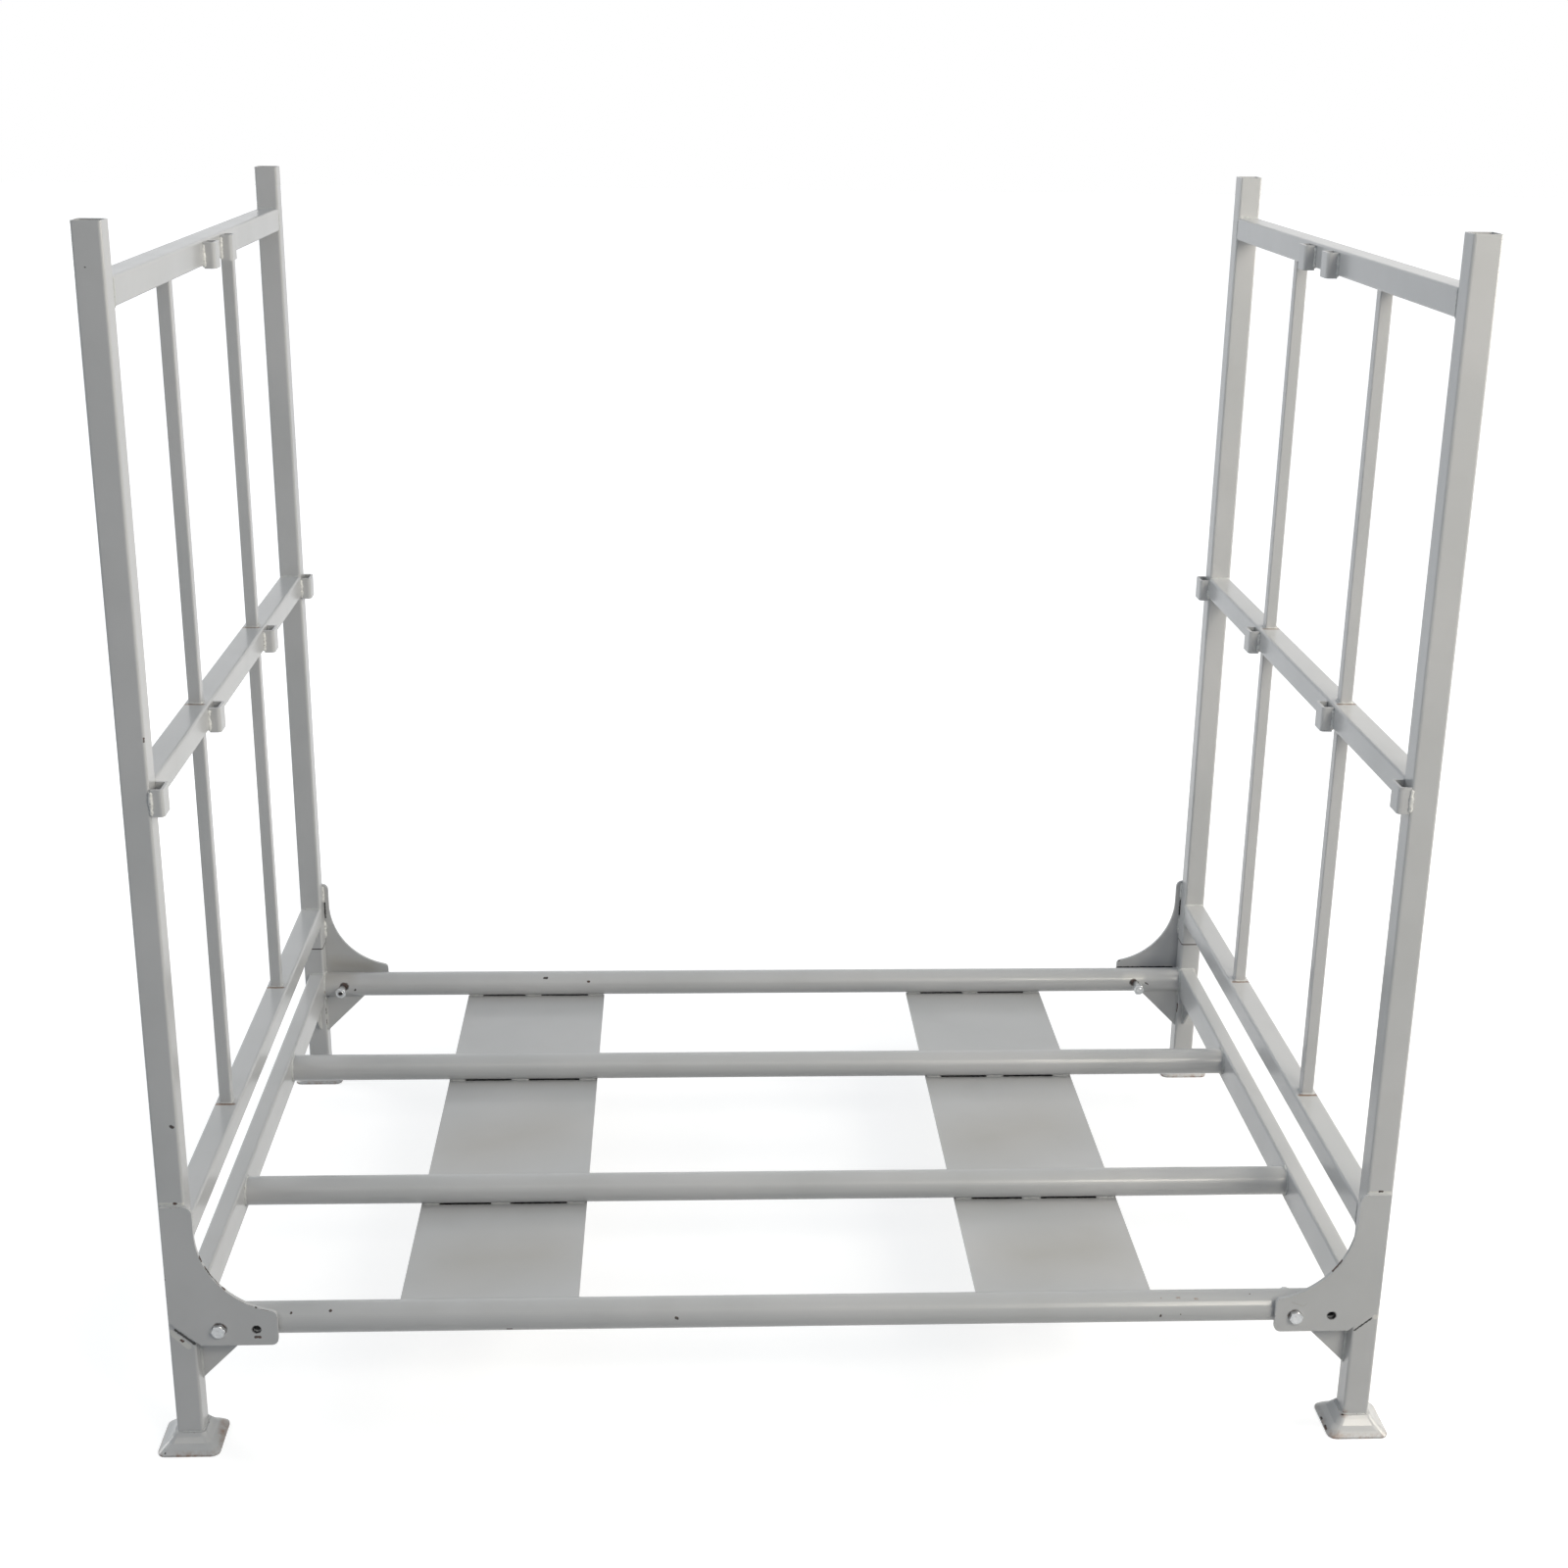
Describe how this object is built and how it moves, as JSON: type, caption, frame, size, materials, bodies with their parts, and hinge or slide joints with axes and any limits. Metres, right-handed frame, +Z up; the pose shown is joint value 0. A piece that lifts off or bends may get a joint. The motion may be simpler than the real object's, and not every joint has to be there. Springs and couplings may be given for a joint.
{
  "type": "pallet stacking rack",
  "caption": "Folding pallet stacking rack: a tubular base on bell feet with fork plates, and two barred end frames that fold flat about pivot plates at their feet.",
  "frame": {"origin": "on the floor, midway between the feet", "axes": "+X along the cross tubes to the right, +Y from the front to the back, +Z up"},
  "size_m": [1.912, 1.359, 1.837],
  "materials": {
    "grey_paint": "semi-gloss light grey paint, worn at edges and welds",
    "zinc_plate": "dull zinc plating on the pivot bolts and nuts"
  },
  "bodies": {
    "base": {"leg_front_left": "grey_paint", "leg_front_right": "grey_paint", "leg_back_left": "grey_paint", "leg_back_right": "grey_paint", "foot_front_left": "grey_paint", "foot_front_right": "grey_paint", "foot_back_left": "grey_paint", "foot_back_right": "grey_paint", "cross_tube_front": "grey_paint", "cross_tube_front_middle": "grey_paint", "cross_tube_back_middle": "grey_paint", "cross_tube_back": "grey_paint", "side_rail_left": "grey_paint", "side_rail_right": "grey_paint", "deck_plate_left": "grey_paint", "deck_plate_right": "grey_paint", "pivot_bolt_front_left": "zinc_plate", "pivot_bolt_front_right": "zinc_plate", "pivot_bolt_back_left": "zinc_plate", "pivot_bolt_back_right": "zinc_plate", "pivot_nut_front_left": "zinc_plate", "pivot_nut_front_right": "zinc_plate", "pivot_nut_back_left": "zinc_plate", "pivot_nut_back_right": "zinc_plate"},
    "left_frame": {"left_upright_front": "grey_paint", "left_upright_back": "grey_paint", "left_bottom_rail": "grey_paint", "left_middle_rail": "grey_paint", "left_top_rail": "grey_paint", "left_bar_lower_front": "grey_paint", "left_bar_lower_back": "grey_paint", "left_bar_upper_front": "grey_paint", "left_bar_upper_back": "grey_paint", "left_pivot_plate_front": "grey_paint", "left_pivot_plate_back": "grey_paint", "left_middle_loop_1": "grey_paint", "left_middle_loop_2": "grey_paint", "left_middle_loop_3": "grey_paint", "left_middle_loop_4": "grey_paint", "left_top_loop_1": "grey_paint", "left_top_loop_2": "grey_paint"},
    "right_frame": {"right_upright_front": "grey_paint", "right_upright_back": "grey_paint", "right_bottom_rail": "grey_paint", "right_middle_rail": "grey_paint", "right_top_rail": "grey_paint", "right_bar_lower_front": "grey_paint", "right_bar_lower_back": "grey_paint", "right_bar_upper_front": "grey_paint", "right_bar_upper_back": "grey_paint", "right_pivot_plate_front": "grey_paint", "right_pivot_plate_back": "grey_paint", "right_middle_loop_1": "grey_paint", "right_middle_loop_2": "grey_paint", "right_middle_loop_3": "grey_paint", "right_middle_loop_4": "grey_paint", "right_top_loop_1": "grey_paint", "right_top_loop_2": "grey_paint"}
  },
  "joints": [
    {"name": "left_frame_fold", "type": "hinge", "parent": "base", "child": "left_frame", "pos_m": [-0.851, 0, 0.21], "axis": [0, 1, 0], "range_deg": [0, 89.5]},
    {"name": "right_frame_fold", "type": "hinge", "parent": "base", "child": "right_frame", "pos_m": [0.7945, 0, 0.21], "axis": [0, -1, 0], "range_deg": [0, 89.3]}
  ]
}
